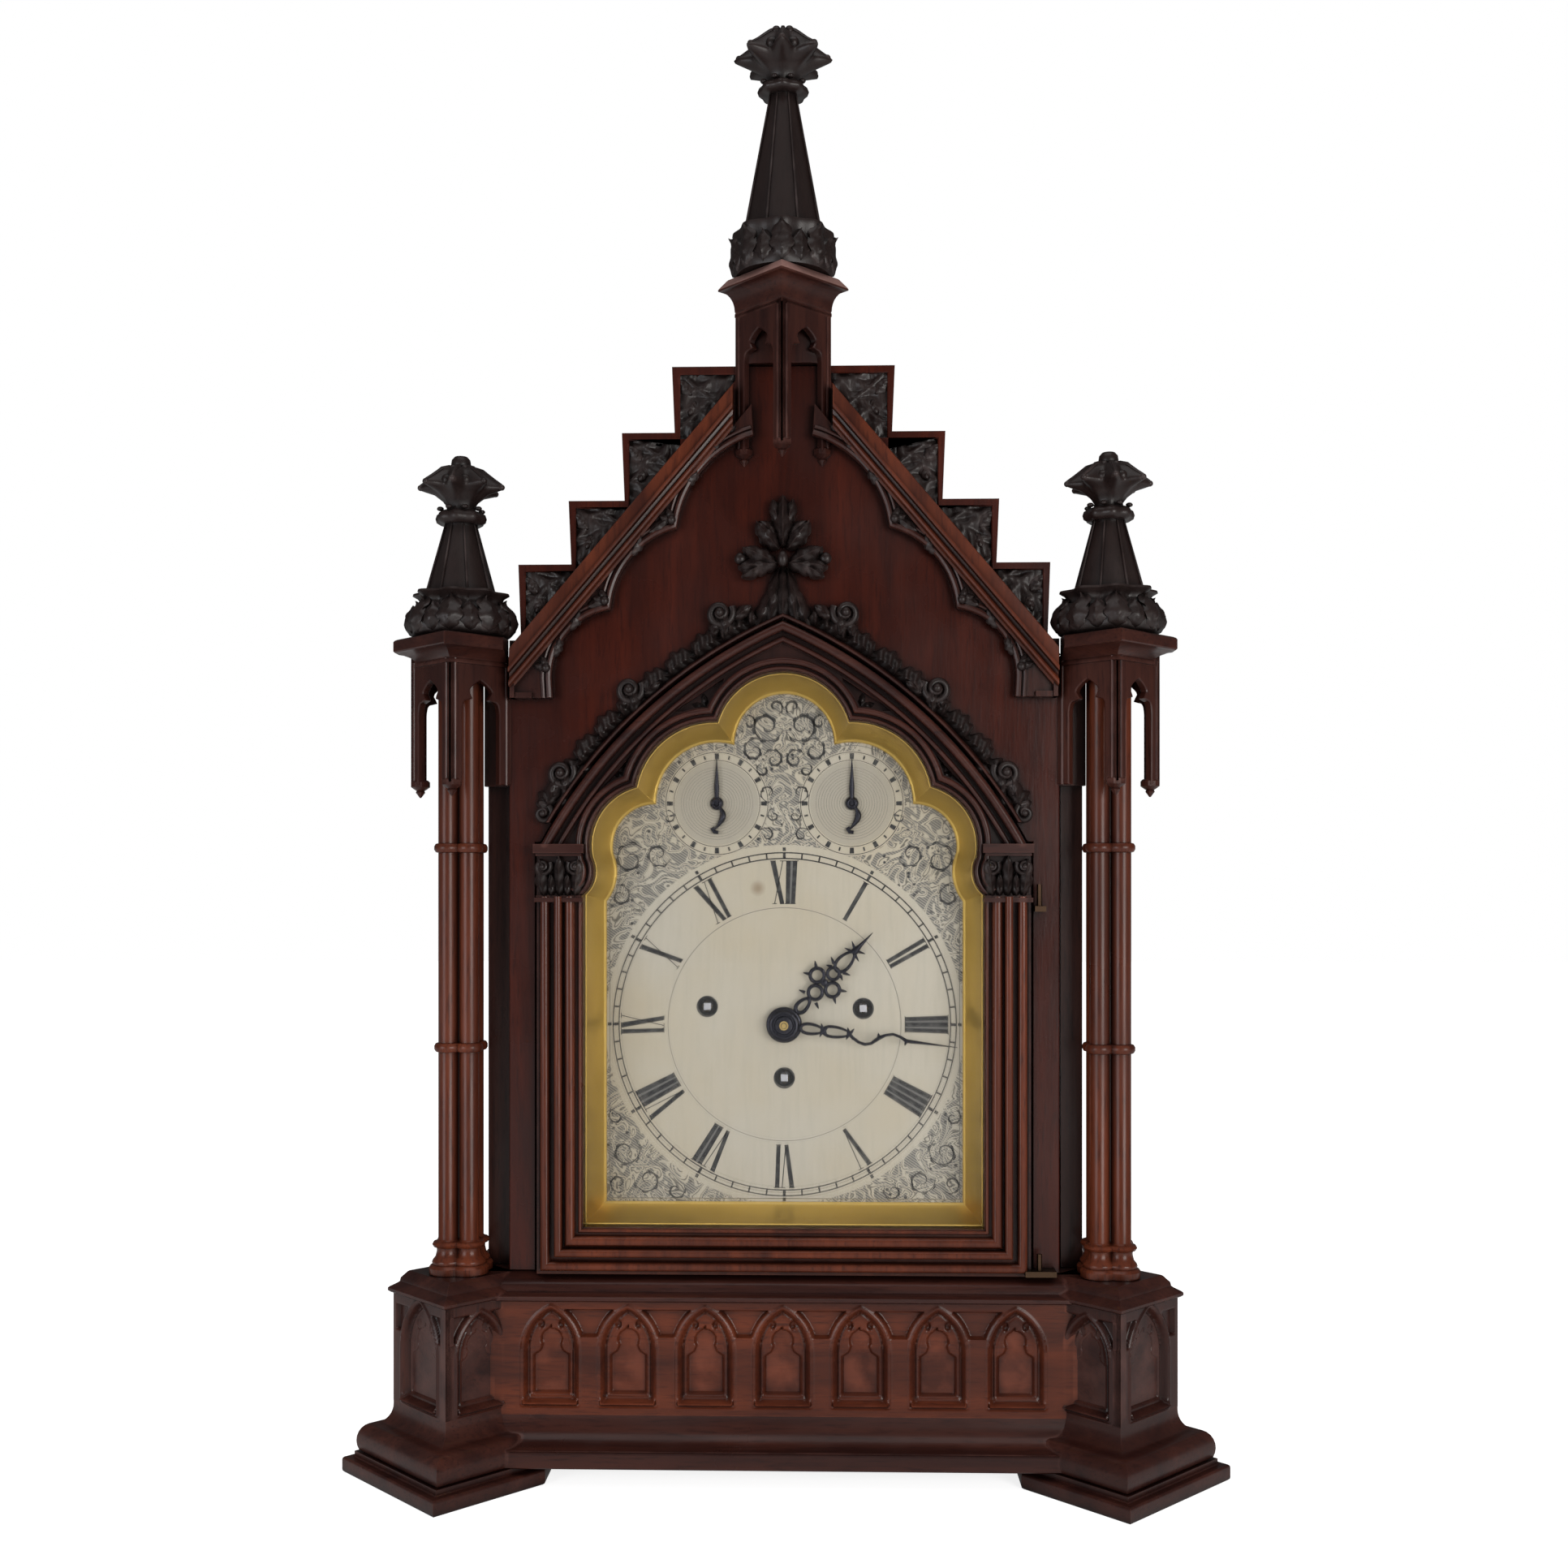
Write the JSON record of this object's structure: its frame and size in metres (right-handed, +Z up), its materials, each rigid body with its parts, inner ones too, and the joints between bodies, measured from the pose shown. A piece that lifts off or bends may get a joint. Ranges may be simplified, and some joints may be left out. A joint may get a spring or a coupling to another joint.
{
  "type": "bracket clock",
  "caption": "Gothic-revival bracket clock: stepped-gable case with corner columns and spires, hinged arched glass door, cusped silvered dial and a fusee movement.",
  "frame": {"origin": "on the surface that the clock stands on, midway between its sides and between its front feet and its back", "axes": "+Z up, -Y the way the dial faces, +X to the right of someone who reads the dial"},
  "size_m": [0.494, 0.26, 0.8046],
  "materials": {
    "mahogany": "French-polished dark red-brown mahogany",
    "dark_carving": "darkened carved mahogany",
    "gilt": "gilt slip, satin",
    "silvered": "silvered and engraved brass",
    "blued_steel": "blued steel, near black",
    "brass": "polished and slightly tarnished",
    "steel": "bright steel",
    "glass": "clear old plate glass"
  },
  "bodies": {
    "case": {"front_foot_right": "mahogany", "front_foot_left": "mahogany", "plinth": "mahogany", "pedestal_right": "mahogany", "pedestal_left": "mahogany", "column_right": "mahogany", "column_left": "mahogany", "canopy_right": "dark_carving", "canopy_left": "dark_carving", "pinnacle_right": "dark_carving", "pinnacle_left": "dark_carving", "case_front": "mahogany", "gable_rake_right": "mahogany", "gable_rake_left": "mahogany", "tower": "dark_carving", "central_spire": "dark_carving", "hood_mould": "dark_carving", "case_side_right": "mahogany", "case_side_left": "mahogany", "sound_fret_right": "brass", "sound_fret_left": "brass", "roof": "mahogany", "back_frame": "mahogany", "rear_hinge": "brass", "hinge_lower": "brass", "hinge_upper": "brass", "dial_surround": "mahogany", "dial_mask": "gilt", "dial_plate": "silvered", "seat_board": "mahogany", "front_plate": "brass", "back_plate": "brass", "bell": "brass"},
    "front_door": {"door_frame": "mahogany", "door_glass": "glass", "door_lock": "brass"},
    "bolt": {"lock_bolt": "brass"},
    "back_door": {"rear_door": "mahogany", "rear_glass": "glass"},
    "back_knob": {"rear_knob": "brass"},
    "minute_arbor": {"minute_hand": "blued_steel", "cannon_wheel": "brass", "centre_wheel": "brass"},
    "hour_pipe": {"hour_hand": "blued_steel", "hour_wheel": "brass"},
    "minute_wheel_arbor": {"minute_wheel": "brass"},
    "third_arbor": {"third_wheel": "brass"},
    "escape_arbor": {"escape_wheel": "brass"},
    "time_fusee_arbor": {"time_fusee": "brass"},
    "time_barrel_arbor": {"time_barrel": "brass"},
    "strike_fusee_arbor": {"strike_fusee": "brass"},
    "strike_barrel_arbor": {"strike_barrel": "brass"},
    "chime_fusee_arbor": {"chime_fusee": "brass"},
    "chime_barrel_arbor": {"chime_barrel": "brass"},
    "strike_hand": {"strike_pointer": "blued_steel"},
    "chime_hand": {"chime_pointer": "blued_steel"},
    "pendulum": {"pendulum_rod": "steel", "pendulum_bob": "brass"},
    "anchor_arbor": {"anchor": "steel"},
    "hammer": {"bell_hammer": "steel"}
  },
  "joints": [
    {"name": "front_door_hinge", "type": "hinge", "parent": "case", "child": "front_door", "pos_m": [0.141, -0.07, 0.22], "axis": [0, 0, 1], "range_deg": [0, 110]},
    {"name": "lock_bolt_slide", "type": "slide", "parent": "front_door", "child": "bolt", "axis": [-1, 0, 0], "range_m": [0, 0.004]},
    {"name": "back_door_hinge", "type": "hinge", "parent": "case", "child": "back_door", "pos_m": [-0.1115, 0.124, 0.282], "axis": [0, 0, 1], "range_deg": [0, 90]},
    {"name": "back_knob_turn", "type": "hinge", "parent": "back_door", "child": "back_knob", "pos_m": [0.099, 0.124, 0.282], "axis": [0, 1, 0], "range_deg": [0, 90]},
    {"name": "minute_turn", "type": "hinge", "parent": "case", "child": "minute_arbor", "pos_m": [0, -0.04, 0.2489], "axis": [0, 1, 0], "continuous": true},
    {"name": "hour_turn", "type": "hinge", "parent": "case", "child": "hour_pipe", "pos_m": [0, -0.04, 0.2489], "axis": [0, 1, 0], "continuous": true},
    {"name": "minute_wheel_turn", "type": "hinge", "parent": "case", "child": "minute_wheel_arbor", "pos_m": [0.018, -0.03, 0.2489], "axis": [0, 1, 0], "continuous": true},
    {"name": "third_turn", "type": "hinge", "parent": "case", "child": "third_arbor", "pos_m": [0, 0, 0.2678], "axis": [0, 1, 0], "continuous": true},
    {"name": "escape_turn", "type": "hinge", "parent": "case", "child": "escape_arbor", "pos_m": [0, 0, 0.284], "axis": [0, 1, 0], "continuous": true},
    {"name": "time_fusee_turn", "type": "hinge", "parent": "case", "child": "time_fusee_arbor", "pos_m": [0, 0, 0.2183], "axis": [0, 1, 0], "continuous": true},
    {"name": "time_barrel_turn", "type": "hinge", "parent": "case", "child": "time_barrel_arbor", "pos_m": [0, 0, 0.173], "axis": [0, 1, 0], "continuous": true},
    {"name": "strike_fusee_turn", "type": "hinge", "parent": "case", "child": "strike_fusee_arbor", "pos_m": [-0.044, 0, 0.259], "axis": [0, 1, 0], "continuous": true},
    {"name": "strike_barrel_turn", "type": "hinge", "parent": "case", "child": "strike_barrel_arbor", "pos_m": [-0.062, 0, 0.196], "axis": [0, 1, 0], "continuous": true},
    {"name": "chime_fusee_turn", "type": "hinge", "parent": "case", "child": "chime_fusee_arbor", "pos_m": [0.045, 0, 0.258], "axis": [0, 1, 0], "continuous": true},
    {"name": "chime_barrel_turn", "type": "hinge", "parent": "case", "child": "chime_barrel_arbor", "pos_m": [0.062, 0, 0.196], "axis": [0, 1, 0], "continuous": true},
    {"name": "strike_pointer_turn", "type": "hinge", "parent": "case", "child": "strike_hand", "pos_m": [-0.0385, -0.04, 0.3749], "axis": [0, 1, 0], "range_deg": [-120, 120]},
    {"name": "chime_pointer_turn", "type": "hinge", "parent": "case", "child": "chime_hand", "pos_m": [0.0385, -0.04, 0.3749], "axis": [0, 1, 0], "range_deg": [-120, 120]},
    {"name": "pendulum_swing", "type": "hinge", "parent": "case", "child": "pendulum", "pos_m": [0, 0.061, 0.3], "axis": [0, 1, 0], "range_deg": [-3, 3]},
    {"name": "anchor_rock", "type": "hinge", "parent": "case", "child": "anchor_arbor", "pos_m": [0, 0.03, 0.3], "axis": [0, 1, 0], "range_deg": [-3, 3]},
    {"name": "hammer_swing", "type": "hinge", "parent": "case", "child": "hammer", "pos_m": [0.06, 0, 0.322], "axis": [0, 1, 0], "range_deg": [0, 12]}
  ],
  "couplings": [
    {"joint": "hour_turn", "follows": "minute_turn", "ratio": 0.083333},
    {"joint": "minute_wheel_turn", "follows": "minute_turn", "ratio": -0.33333},
    {"joint": "third_turn", "follows": "minute_turn", "ratio": -6},
    {"joint": "escape_turn", "follows": "minute_turn", "ratio": 30},
    {"joint": "time_fusee_turn", "follows": "minute_turn", "ratio": -0.16667},
    {"joint": "time_barrel_turn", "follows": "minute_turn", "ratio": -0.083333},
    {"joint": "strike_barrel_turn", "follows": "strike_fusee_turn", "ratio": 0.5},
    {"joint": "chime_barrel_turn", "follows": "chime_fusee_turn", "ratio": 0.5},
    {"joint": "anchor_rock", "follows": "pendulum_swing", "ratio": 1}
  ]
}
